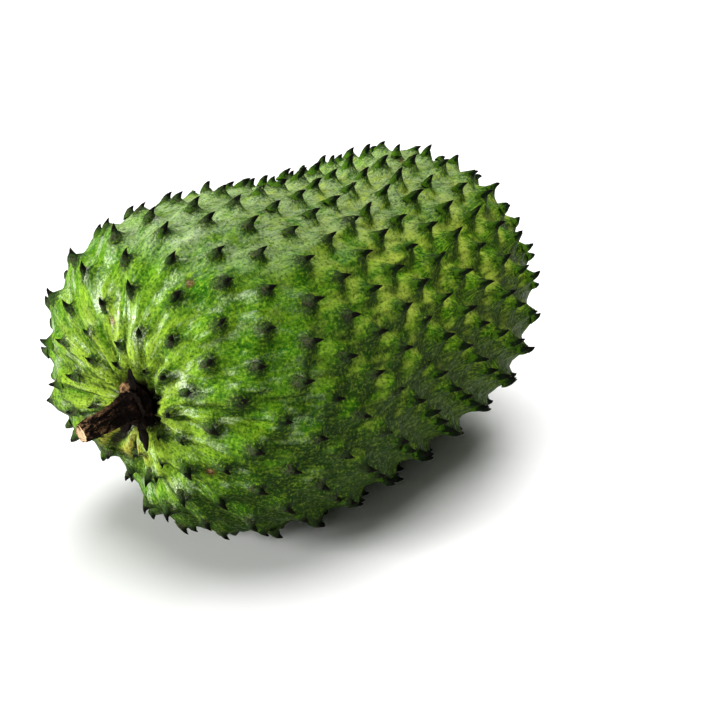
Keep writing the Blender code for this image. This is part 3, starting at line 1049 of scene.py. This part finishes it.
    def build(self, material: bpy.types.Material) -> bpy.types.Object:
        """The finished rind.

        Args:
            material: The rind's material.

        Returns:
            The rind's object.
        """
        piece = self.grid(material)
        mesh = piece.data
        theta, turn = self.lay(mesh)
        base = self.body.point(theta, turn)
        move_points(mesh, base * MM)
        normal = read_points(mesh, "normal")
        along, radius = self.body.profile(theta)
        angle, _, _, run = self.body.table()
        length = np.interp(theta, angle, run)
        flow = np.stack([self.flow_radius * np.cos(turn), self.flow_radius * np.sin(turn),
                         length * self.flow_stretch], axis=-1)
        hills = self.relief(base)
        cup = bell(radius, self.rib_radius) * (along < 0.5)
        ribs = np.cos(self.rib_count * turn + self.rib_wander.over(flow)) + self.rib_break.over(flow)
        ribs *= np.clip(radius / self.rib_start, 0.0, 1.0) * cup
        scar = self.spots(base, self.scars, self.scar_radius)
        height = (hills["height"] + self.rib_height * ribs + self.fibres.over(flow) * (1.0 - hills["near"])
                  + self.drape.over(flow) + self.swell.over(base))
        height = height * (1.0 - scar) - self.scar_depth * scar
        points = base + normal * height[:, None] + hills["push"] * self.lean
        points[:, 2] = np.maximum(points[:, 2], 0.0)
        move_points(mesh, points * MM)
        mesh.shade_smooth()
        carry(mesh, {Attr.PEAK: hills["peak"], Attr.NEAR: hills["near"], Attr.CORK: hills["corky"],
                     Attr.ALONG: along, Attr.FLOW: flow, Attr.SPOKE: hills["spoke"], Attr.CUP: cup,
                     Attr.RIB: ribs, Attr.SCAR: scar, Attr.SKY: normal[:, 2],
                     Attr.STEM_PLEATS: self.spots(base, self.pleat_spots, self.pleat_radius)})
        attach(piece, "root")
        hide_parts("fruit")
        return piece


@dataclass
class Thorns:
    """One hooked thorn on every mound, set by Geometry Nodes."""

    areoles: Areoles
    root_radius: float = 2.8
    tip_radius: float = 0.13
    flatness: float = 0.72
    flare: float = 0.85
    height: float = 3.17
    hook: float = 3.75
    heel: float = -0.2
    bend: tuple = (0.1, 0.6)
    sink: float = 2.2
    stand: float = 3.4
    side_step: float = 0.3
    yaw: float = 0.3
    height_spread: float = 0.35
    short_share: float = 0.3
    short_height: float = 0.6
    stem_stretch: float = -0.08
    stem_height: float = 0.78
    knurl: float = 1.6
    knurl_length: float = 2.2
    knurl_fade: float = 1.1
    foot_above_floor: float = 1.5
    tip_above_floor: float = 0.3
    sides: int = 10
    rings: int = 8
    seed: int = 17

    def tree(self) -> bpy.types.NodeTree:
        """The Geometry Nodes tree that turns points into hooked thorns.

        Returns:
            The tree.
        """
        vector, number, whole = "NodeSocketVector", "NodeSocketFloat", "NodeSocketInt"
        tree, given, result = new_tree("hooked_thorns", {
            "Heel": vector, "Bend": vector, "Tip": vector, "Root Radius": number, "Tip Radius": number,
            "Flare": number, "Yaw": number, "Knurl": number, "Knurl Length": number, "Knurl Fade": number,
            "Sides": whole, "Rings": whole, "Seed": whole, "Material": "NodeSocketMaterial"})
        get = given.outputs
        carried = {attr: add_node(tree, "GeometryNodeInputNamedAttribute", {"Name": attr.value},
                                  data_type=kind).outputs[0]
                   for attr, kind in ((Attr.OUTWARD, "FLOAT_VECTOR"), (Attr.APEXWARD, "FLOAT_VECTOR"),
                                      (Attr.GIRTH, "FLOAT_VECTOR"), (Attr.TIP, "FLOAT"))}
        # A curve from heel to tip, thinning from the root's radius to the tip's.
        axis = add_node(tree, "GeometryNodeCurveQuadraticBezier",
                        {"Resolution": get["Rings"], "Start": get["Heel"], "Middle": get["Bend"],
                         "End": get["Tip"]})
        run = add_node(tree, "GeometryNodeSplineParameter").outputs["Factor"]
        left = add_node(tree, "ShaderNodeMath", {0: 1.0, 1: run}, operation="SUBTRACT")
        flared = add_node(tree, "ShaderNodeMath", {0: left.outputs[0], 1: get["Flare"]}, operation="POWER")
        thick = add_node(tree, "ShaderNodeMapRange", {0: flared.outputs[0], 1: 0.0, 2: 1.0,
                                                      3: get["Tip Radius"], 4: get["Root Radius"]})
        marked = add_node(tree, "GeometryNodeStoreNamedAttribute",
                          {"Geometry": axis.outputs[0], "Name": Attr.TIP.value, "Value": run},
                          data_type="FLOAT")
        ring = add_node(tree, "GeometryNodeCurvePrimitiveCircle", {"Resolution": get["Sides"], "Radius": 1.0})
        horn = add_node(tree, "GeometryNodeCurveToMesh",
                        {"Curve": marked.outputs[0], "Profile Curve": ring.outputs[0],
                         "Scale": thick.outputs[0], "Fill Caps": True})
        place = add_node(tree, "GeometryNodeInputPosition")
        parted = add_node(tree, "ShaderNodeSeparateXYZ", {0: place.outputs[0]})
        back = add_node(tree, "ShaderNodeMapRange", {0: parted.outputs[0], 1: 0.0, 2: get["Root Radius"],
                                                     3: 0.0, 4: -1.0}, clamp=False)
        horn = add_node(tree, "GeometryNodeStoreNamedAttribute",
                        {"Geometry": horn.outputs[0], "Name": Attr.STEMWARD.value, "Value": back.outputs[0]},
                        data_type="FLOAT")
        # Each stands out from the rind, hooks towards the apex and is yawed a little by chance.
        stand = add_node(tree, "FunctionNodeAxesToRotation",
                         {0: carried[Attr.OUTWARD], 1: carried[Attr.APEXWARD]},
                         primary_axis="Z", secondary_axis="X")
        other = add_node(tree, "ShaderNodeMath", {0: get["Yaw"], 1: -1.0}, operation="MULTIPLY")
        yaw = add_node(tree, "FunctionNodeRandomValue", {2: other.outputs[0], 3: get["Yaw"],
                                                         "Seed": get["Seed"]}, data_type="FLOAT")
        spin = add_node(tree, "FunctionNodeAxisAngleToRotation",
                        {"Axis": (0.0, 0.0, 1.0), "Angle": yaw.outputs[1]})
        turned = add_node(tree, "FunctionNodeRotateRotation", {0: stand.outputs[0], 1: spin.outputs[0]},
                          rotation_space="LOCAL")
        placed = add_node(tree, "GeometryNodeInstanceOnPoints",
                          {"Points": get["Geometry"], "Instance": horn.outputs[0],
                           "Rotation": turned.outputs[0], "Scale": carried[Attr.GIRTH]})
        real = add_node(tree, "GeometryNodeRealizeInstances", {"Geometry": placed.outputs[0]})
        # The skin is knurled, most at the foot and hardly at the tip.
        spread = add_node(tree, "ShaderNodeMath", {0: 1.0, 1: get["Knurl Length"]}, operation="DIVIDE")
        rough = add_node(tree, "ShaderNodeTexNoise", {"Scale": spread.outputs[0], "Detail": 2.0})
        centred = add_node(tree, "ShaderNodeVectorMath", {0: rough.outputs["Color"], 1: (0.5, 0.5, 0.5)},
                           operation="SUBTRACT")
        below = add_node(tree, "ShaderNodeMath", {0: get["Knurl Fade"], 1: carried[Attr.TIP]},
                         operation="SUBTRACT")
        taper = add_node(tree, "ShaderNodeMath", {0: get["Knurl"], 1: below.outputs[0]},
                         operation="MULTIPLY")
        shift = add_node(tree, "ShaderNodeVectorMath", {0: centred.outputs["Vector"],
                                                        "Scale": taper.outputs[0]}, operation="SCALE")
        knurled = add_node(tree, "GeometryNodeSetPosition",
                           {"Geometry": real.outputs[0], "Offset": shift.outputs["Vector"]})
        smooth = add_node(tree, "GeometryNodeSetShadeSmooth", {"Geometry": knurled.outputs[0]})
        final = add_node(tree, "GeometryNodeSetMaterial",
                         {"Geometry": smooth.outputs[0], "Material": get["Material"]})
        tree.links.new(final.outputs[0], result.inputs[0])
        return tree

    def build(self, material: bpy.types.Material) -> bpy.types.Object:
        """The finished thorns.

        Args:
            material: The thorns' material.

        Returns:
            The thorns' object.
        """
        a = self.areoles
        lift = self.stand * a.relief[:, None]
        feet = a.here + a.size[:, None] * (a.to_apex * a.foot + a.normal * lift
                                           + a.across * (self.side_step * a.lean[:, None]))
        tips = feet + a.size[:, None] * (a.to_apex * self.hook + a.normal * self.height * a.relief[:, None])
        kept = (feet[:, 2] > self.foot_above_floor) & (tips[:, 2] > self.tip_above_floor)
        piece = new_piece("thorns", feet[kept], [])
        rng = np.random.default_rng(self.seed)
        tall = np.where(rng.uniform(0.0, 1.0, len(a.size)) < self.short_share, self.short_height,
                        1.0 - rng.uniform(0.0, self.height_spread, len(a.size)))
        full = (a.relief - a.stem_relief) / (1.0 - a.stem_relief)
        longer = 1.0 + self.stem_stretch * (1.0 - full)
        lower = self.stem_height + (1.0 - self.stem_height) * full
        girth = np.stack([longer * a.size, self.flatness * a.size, lower * a.size * tall], axis=-1)
        carry(piece.data, {Attr.OUTWARD: a.normal[kept], Attr.APEXWARD: a.to_apex[kept],
                           Attr.GIRTH: girth[kept], Attr.ALONG: a.along[kept],
                           Attr.SHADE: rng.uniform(0.0, 1.0, int(kept.sum()))})
        hook, height = self.hook * MM, self.height * MM
        apply_nodes(piece, self.tree(), {
            "Heel": (self.heel * hook, 0.0, -self.sink * MM),
            "Bend": (self.bend[0] * hook, 0.0, self.bend[1] * height), "Tip": (hook, 0.0, height),
            "Root Radius": self.root_radius * MM, "Tip Radius": self.tip_radius * MM, "Flare": self.flare,
            "Yaw": self.yaw, "Knurl": self.knurl * MM, "Knurl Length": self.knurl_length * MM,
            "Knurl Fade": self.knurl_fade, "Sides": self.sides, "Rings": self.rings, "Seed": self.seed,
            "Material": material})
        points = read_points(piece.data)
        points[:, 2] = np.maximum(points[:, 2], 0.0)
        move_points(piece.data, points)
        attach(piece, "root")
        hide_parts("fruit")
        return piece


@dataclass
class Stem:
    """The short cut stem: a fissured bark tube with a sawn end.

    Each station is (distance out, radius, sideways, down), each ridge (count, depth, bearing), and
    each ring of the sawn face (share of the radius, depth below the cut).
    """

    seat: tuple = STEM_SEAT
    stations: tuple = (
        (-3.0, 5.4, 0.0, 0.0), (-0.6, 6.4, 0.0, 0.0), (1.2, 8.2, 0.0, 0.0), (2.6, 7.2, 0.0, 0.1),
        (4.4, 5.7, 0.2, 0.1), (6.6, 4.7, 0.4, 0.1), (9.5, 4.0, 0.5, 0.2), (12.5, 3.7, 0.5, 0.3),
        (15.5, 3.5, 0.3, 0.4), (18.5, 3.4, 0.1, 0.5), (21.5, 3.6, 0.0, 0.5), (24.0, 3.5, -0.1, 0.6),
        (26.4, 3.2, -0.1, 0.6))
    smoothing: int = 11
    ridges: tuple = ((5, 0.055, 0.4), (3, 0.05, 1.7), (9, 0.03, 2.6))
    flow_radius: float = 3.8
    flow_stretch: float = 0.28
    fissures: Ripple = Ripple(1.0, 3.4, 3)
    cracks: Ripple = Ripple(0.5, 1.9, 9)
    crack_squash: float = 3.0
    ridge_top: float = 1.2
    bark_depth: float = 0.75
    bark_level: float = 0.7
    cut_slant: tuple = (0.22, -0.16)
    cut_from: float = 22.0
    cut_rings: tuple = ((0.96, 0.1), (0.9, 0.0), (0.86, -0.25), (0.7, -0.2), (0.5, -0.3), (0.3, -0.25),
                        (0.1, -0.4))
    wood_within: float = 0.93
    split_bearing: float = 0.9
    split_width: float = 0.22
    split_depth: float = 1.1
    split_fade: tuple = (0.05, 0.4)
    split_within: float = 0.88
    rim_peak: float = 0.6
    sides: int = 96
    rings: int = 120

    def tube(self) -> tuple[Array, Array, Array, Array]:
        """The bark from the foot to the cut.

        Returns:
            Points by ring and side, how high the bark stands at each, the way it flows, and how far
            out it is from 0 to 1.
        """
        known = np.array(self.stations)
        out = np.linspace(known[0, 0], known[-1, 0], self.rings)
        radius, sideways, down = (np.interp(out, known[:, 0], known[:, k]) for k in (1, 2, 3))
        kernel = np.hanning(self.smoothing)[1:-1]
        padded = np.pad(radius, len(kernel) // 2, mode="edge")
        radius = np.convolve(padded, kernel / kernel.sum(), mode="valid")
        bearing = np.linspace(0.0, FULL_TURN, self.sides, endpoint=False)
        ridge = 1.0 + sum(depth * np.cos(count * bearing + at) for count, depth, at in self.ridges)
        along, around = np.meshgrid(out, bearing, indexing="ij")
        flow = np.stack([self.flow_radius * np.cos(around), self.flow_radius * np.sin(around),
                         along * self.flow_stretch], axis=-1).reshape(-1, 3)
        bark = np.abs(self.fissures.over(flow)) + np.abs(self.cracks.over(flow * (1, 1, self.crack_squash)))
        bark = np.clip(bark / self.ridge_top, 0.0, 1.0).reshape(self.rings, self.sides)
        reach = radius[:, None] * ridge[None, :] + self.bark_depth * (bark - self.bark_level)
        late = smooth_step(self.cut_from, out[-1], out)[:, None]
        slant = self.cut_slant[0] * np.cos(around) + self.cut_slant[1] * np.sin(around)
        points = np.stack([-along + late * reach * slant, sideways[:, None] + reach * np.cos(around),
                           -down[:, None] + reach * np.sin(around)], axis=-1)
        return points, bark, flow, (along / out[-1]).ravel()

    def face(self, rim: Array) -> tuple[Array, Array, Array]:
        """The sawn face, ring by ring inwards, with one split in it.

        Args:
            rim: The last ring of bark.

        Returns:
            Points, how much each is bare wood, and how much it is split.
        """
        bearing = np.linspace(0.0, FULL_TURN, self.sides, endpoint=False)
        off_split = np.angle(np.exp(1j * (bearing - self.split_bearing)))
        out, _, sideways, down = self.stations[-1]
        middle = np.array([-out, sideways, -down])
        points, wood, crack = [], [], []
        for share, sunk in self.cut_rings:
            ring = middle + (rim - middle) * share
            split = bell(off_split, self.split_width) * smooth_step(*self.split_fade, share)
            ring[:, 0] += -sunk + self.split_depth * split * (share < self.split_within)
            points.append(ring)
            wood.append(np.full(self.sides, float(share < self.wood_within)))
            crack.append(split * (share < self.cut_rings[0][0]))
        return np.concatenate(points), np.concatenate(wood), np.concatenate(crack)

    def build(self, material: bpy.types.Material) -> bpy.types.Object:
        """The finished stem.

        Args:
            material: The stem's material.

        Returns:
            The stem's object.
        """
        tube, bark, flow, reached = self.tube()
        sawn, wood, crack = self.face(tube[-1])
        points = np.concatenate([tube.reshape(-1, 3), sawn])
        piece = new_piece("stem_bark", points + np.array(self.seat),
                          tube_faces(len(points) // self.sides, self.sides, mirrored=True))
        none, all_sawn = np.zeros(len(flow)), np.ones(len(sawn))
        carry(piece.data, {Attr.PEAK: np.append(bark, all_sawn * self.rim_peak),
                           Attr.CUT: np.append(none, wood), Attr.NEAR: np.append(none, crack),
                           Attr.FLOW: np.concatenate([flow, sawn]),
                           Attr.ALONG: np.append(reached, all_sawn), Attr.SEPAL: np.zeros(len(points))})
        piece.data.materials.append(material)
        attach(piece, "root")
        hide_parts("stem")
        return piece


@dataclass(frozen=True)
class Sepal:
    """One dried flap at the stem's foot.

    turn is about the stem and raised is away from the rind, in degrees. A shade of 1 is near black,
    for dried sepals and for painted shadow, 0 is brown bark and -1 is bare tan wood.
    """

    turn: float
    length: float
    width: float
    thickness: float
    raised: float
    shade: float


@dataclass
class Calyx:
    """Dried black sepals and one tan scar knob round the foot of the stem; two long black flaps among
    them are painted shadow in the crevices beside the stem.

    wrinkle and ragged are a ripple's (height, length, seed), and each sepal adds its own turn to the seed.
    """

    seat: tuple = STEM_SEAT
    sepals: tuple = (
        # The long black flaps at 106 and 229 degrees are painted shadow in the crevices beside the stem.
        Sepal(72.0, 4.8, 5.8, 4.6, 14.0, -1.0), Sepal(106.0, 15.0, 3.4, 1.6, 21.0, 1.0),
        Sepal(125.0, 6.0, 6.5, 1.5, 28.0, 0.7), Sepal(165.0, 5.4, 6.0, 1.5, 28.0, 0.7),
        Sepal(205.0, 6.4, 4.6, 1.4, 26.0, 0.4), Sepal(229.0, 12.0, 4.4, 1.8, 21.0, 1.0),
        Sepal(285.0, 6.0, 5.0, 1.4, 28.0, 0.35), Sepal(335.0, 5.0, 5.0, 1.4, 28.0, 0.8))
    foot: float = 4.4
    out: float = 0.9
    bluntness: float = 0.6
    end: float = 0.02
    lobes: float = 3.0
    lobe_depth: float = 0.3
    cup: float = 0.32
    droop: float = 0.35
    crease_stretch: float = 0.5
    wrinkle: tuple = (0.3, 2.0, 3)
    knob_wrinkle: float = 0.6
    ragged: tuple = (0.18, 3.0, 7)
    rings: int = 22
    sides: int = 18
    peak: float = 0.45

    def flap(self, sepal: Sepal) -> Array:
        """One sepal's points in the shared frame, ring by ring.

        Args:
            sepal: The sepal's sizes and place.

        Returns:
            Rows of millimetres.
        """
        v, u = np.meshgrid(np.linspace(0.0, 1.0, self.rings),
                           np.linspace(0.0, FULL_TURN, self.sides, endpoint=False), indexing="ij")
        outline = np.sin(math.pi * np.clip(v, self.end, 1.0 - self.end)) ** self.bluntness
        across = np.cos(u) * outline * sepal.width / 2.0
        lobed = 1.0 + self.lobe_depth * np.cos(self.lobes * u)
        deep = np.sin(u) * outline * sepal.thickness / 2.0 * lobed
        curl = -self.cup * across ** 2 / sepal.width - self.droop * v ** 2
        crease = np.stack([across, v * sepal.length * self.crease_stretch], -1).reshape(-1, 2)
        depth, length, seed = self.wrinkle
        depth = self.knob_wrinkle if sepal.shade < 0.0 else depth
        wrinkle = Ripple(depth, length, int(sepal.turn) + seed).over(crease).reshape(v.shape)
        depth, length, seed = self.ragged
        edge = 1.0 + Ripple(depth, length, int(sepal.turn) + seed).over(crease).reshape(v.shape)
        local = np.stack([deep + curl + wrinkle, self.foot + v * sepal.length, across * edge], axis=-1)
        place = (Matrix.Rotation(math.radians(sepal.turn), 4, "X")
                 @ Matrix.Rotation(math.radians(sepal.raised), 4, "Z"))
        turned = local.reshape(-1, 3) @ np.array(place.to_3x3()).T
        return turned + np.array(self.seat) + np.array([-self.out, 0.0, 0.0])

    def build(self, material: bpy.types.Material) -> bpy.types.Object:
        """The finished sepals as one piece.

        Args:
            material: The stem's material.

        Returns:
            The calyx's object.
        """
        each = self.rings * self.sides
        points = np.concatenate([self.flap(sepal) for sepal in self.sepals])
        faces = [face for start in range(0, len(points), each)
                 for face in tube_faces(self.rings, self.sides, start)]
        piece = new_piece("dried_calyx", points, faces)
        none = np.zeros(len(points))
        shade = np.repeat([sepal.shade for sepal in self.sepals], each)
        carry(piece.data, {Attr.PEAK: none + self.peak, Attr.CUT: none, Attr.NEAR: none, Attr.FLOW: points,
                           Attr.ALONG: none, Attr.SEPAL: shade})
        piece.data.materials.append(material)
        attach(piece, "root")
        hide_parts("stem")
        return piece


# ---------------------------------------------------------------- studio

@dataclass(frozen=True)
class Lamp:
    """A wide far light that shines from a place as the fruit sees it.

    softness is how many degrees wide it looks from the fruit, power is in watts per square metre.
    """

    name: str
    place: tuple[float, float, float]
    softness: float
    power: float


@dataclass
class Studio:
    """Pale floor, soft lights and the camera."""

    turn: float = 50.0
    height: float = 24.0
    distance: float = 700.0
    lens: float = 95.41
    sensor: float = 36.0
    aside: tuple = (0.0236, -0.0157)
    floor_reach: float = 4000.0
    floor_drop: float = 0.2
    floor_colour: str = "#fbfbfa"
    floor_dullness: float = 0.9
    world_colour: str = "#ffffff"
    world_strength: float = 0.08
    lamps: tuple = (
        Lamp("key_soft", (-0.82, 0.58, 0.2), 22.0, 5.5), Lamp("fill_soft", (-0.85, -0.35, 0.35), 20.0, 0.2),
        Lamp("top_soft", (0.0, 0.0, 1.0), 50.0, 3.0), Lamp("back_soft", (0.6, 0.3, 0.75), 30.0, 1.2))

    def camera(self, middle: tuple) -> None:
        """Place the camera so that the body's middle falls a little left of and above its centre.

        Args:
            middle: The body's middle, millimetres.
        """
        turn, height = math.radians(self.turn), math.radians(self.height)
        level = math.cos(height)
        look = Vector((math.sin(turn) * level, math.cos(turn) * level, -math.sin(height)))
        right = Vector((math.cos(turn), -math.sin(turn), 0.0))
        axis = (look + right * self.aside[0] + right.cross(look) * self.aside[1]).normalized()
        data = bpy.data.cameras.new("camera")
        data.sensor_width, data.lens = self.sensor, self.lens
        camera = bpy.data.objects.new("camera", data)
        bpy.context.scene.collection.objects.link(camera)
        side = axis.cross(Vector((0.0, 0.0, 1.0))).normalized()
        pose = Matrix((side, side.cross(axis), -axis)).transposed().to_4x4()
        pose.translation = (Vector(middle) - look * self.distance) * MM
        camera.matrix_world = pose
        bpy.context.scene.camera = camera

    def light(self, lamp: Lamp) -> None:
        """Hang one lamp.

        Args:
            lamp: Which lamp, and where.
        """
        data = bpy.data.lights.new(lamp.name, "SUN")
        data.energy, data.angle = lamp.power, math.radians(lamp.softness)
        light = bpy.data.objects.new(lamp.name, data)
        light.location = lamp.place
        light.rotation_euler = (-Vector(lamp.place)).to_track_quat("-Z", "Y").to_euler()
        bpy.context.scene.collection.objects.link(light)

    def floor(self) -> None:
        """Lay a wide pale floor, a hair below the fruit."""
        corners = np.array([(-1, -1, 0), (1, -1, 0), (1, 1, 0), (-1, 1, 0)]) * self.floor_reach
        piece = new_piece("floor", corners - (0.0, 0.0, self.floor_drop), [(0, 1, 2, 3)])
        material, _, shader = new_material("pale_studio_floor")
        shader.inputs["Base Color"].default_value = linear(self.floor_colour)
        shader.inputs["Roughness"].default_value = self.floor_dullness
        piece.data.materials.append(material)

    def build(self, middle: tuple) -> None:
        """Set up the whole studio.

        Args:
            middle: What the camera looks at, millimetres.
        """
        self.floor()
        world = bpy.data.worlds.new("soft_white")
        world.use_nodes = True
        back = world.node_tree.nodes["Background"]
        back.inputs["Color"].default_value = linear(self.world_colour)
        back.inputs["Strength"].default_value = self.world_strength
        bpy.context.scene.world = world
        bpy.context.scene.view_settings.view_transform = "Standard"
        for lamp in self.lamps:
            self.light(lamp)
        self.camera(middle)


def main() -> None:
    """Build every piece in order and report it, and set up the studio."""
    logging.basicConfig(level=logging.INFO, format="%(message)s")
    body = Body()
    areoles = Areoles(body)
    pieces = [Rind(body, areoles).build(Painter(SoursopRind()).paint()),
              Thorns(areoles).build(Painter(CorkyThorn()).paint())]
    bark = Painter(WoodyStem()).paint()
    pieces += [Stem().build(bark), Calyx().build(bark)]
    for piece in pieces:
        LOG.info("%s: %d faces, %s", piece.name, len(piece.data.polygons), piece.data.materials[0].name)
    Studio().build(body.middle)


if __name__ == "__main__":
    main()
